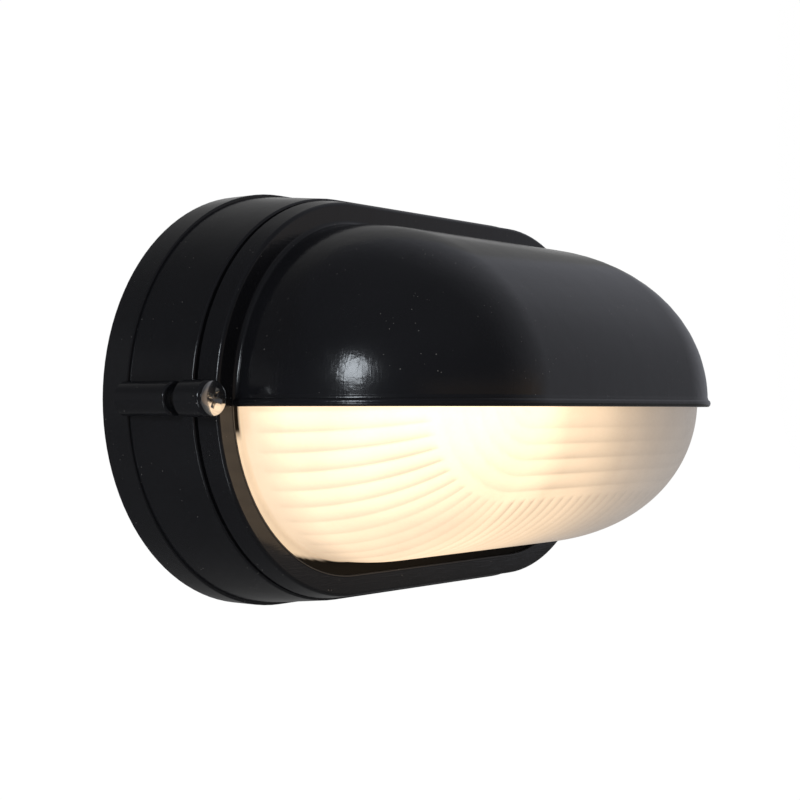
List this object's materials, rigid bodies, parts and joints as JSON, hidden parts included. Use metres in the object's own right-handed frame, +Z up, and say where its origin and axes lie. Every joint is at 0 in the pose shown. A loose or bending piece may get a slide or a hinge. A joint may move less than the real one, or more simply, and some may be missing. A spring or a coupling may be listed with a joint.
{
  "type": "bulkhead light",
  "caption": "Oval wall bulkhead light: cast base and cover, half hood over a ribbed frosted glass bowl, side cover screws, screw-cap lamp on a porcelain holder inside.",
  "frame": {"origin": "middle of the back rim, on the wall plane", "axes": "+Z up the wall, +X along the light's length, -Y out of the wall towards the room"},
  "size_m": [0.2352, 0.1165, 0.1352],
  "materials": {
    "black_coat": "satin black powder coat on cast aluminium",
    "frosted_glass": "pressed ribbed glass, frosted, lit from inside",
    "lamp_glass": "pearl lamp, lit",
    "black_rubber": "matt rubber",
    "stainless": "bright stainless steel",
    "zinc_steel": "zinc plated steel",
    "porcelain": "glazed porcelain",
    "brass": "plain brass",
    "white_moulding": "moulded polyamide",
    "brown_sleeve": "glass-fibre and silicone sleeve",
    "blue_sleeve": "glass-fibre and silicone sleeve",
    "green_sleeve": "green and yellow sleeve"
  },
  "bodies": {
    "root": {"base_housing": "black_coat", "front_cover": "black_coat", "glass_bowl": "frosted_glass", "cover_gasket": "black_rubber", "cable_grommet": "black_rubber", "cover_screws": "stainless", "lampholder_body": "porcelain", "lampholder_shell": "brass", "centre_contact": "brass", "holder_terminal_screws": "brass", "lampholder_bracket": "zinc_steel", "bracket_screws": "zinc_steel", "holder_screws": "zinc_steel", "bulb": "lamp_glass", "terminal_block": "white_moulding", "terminal_inserts": "brass", "terminal_screws": "zinc_steel", "block_screws": "zinc_steel", "earth_screw": "brass", "earth_washer": "brass", "earth_ring": "zinc_steel", "earth_lead": "green_sleeve", "live_lead": "brown_sleeve", "neutral_lead": "blue_sleeve"}
  },
  "joints": []
}
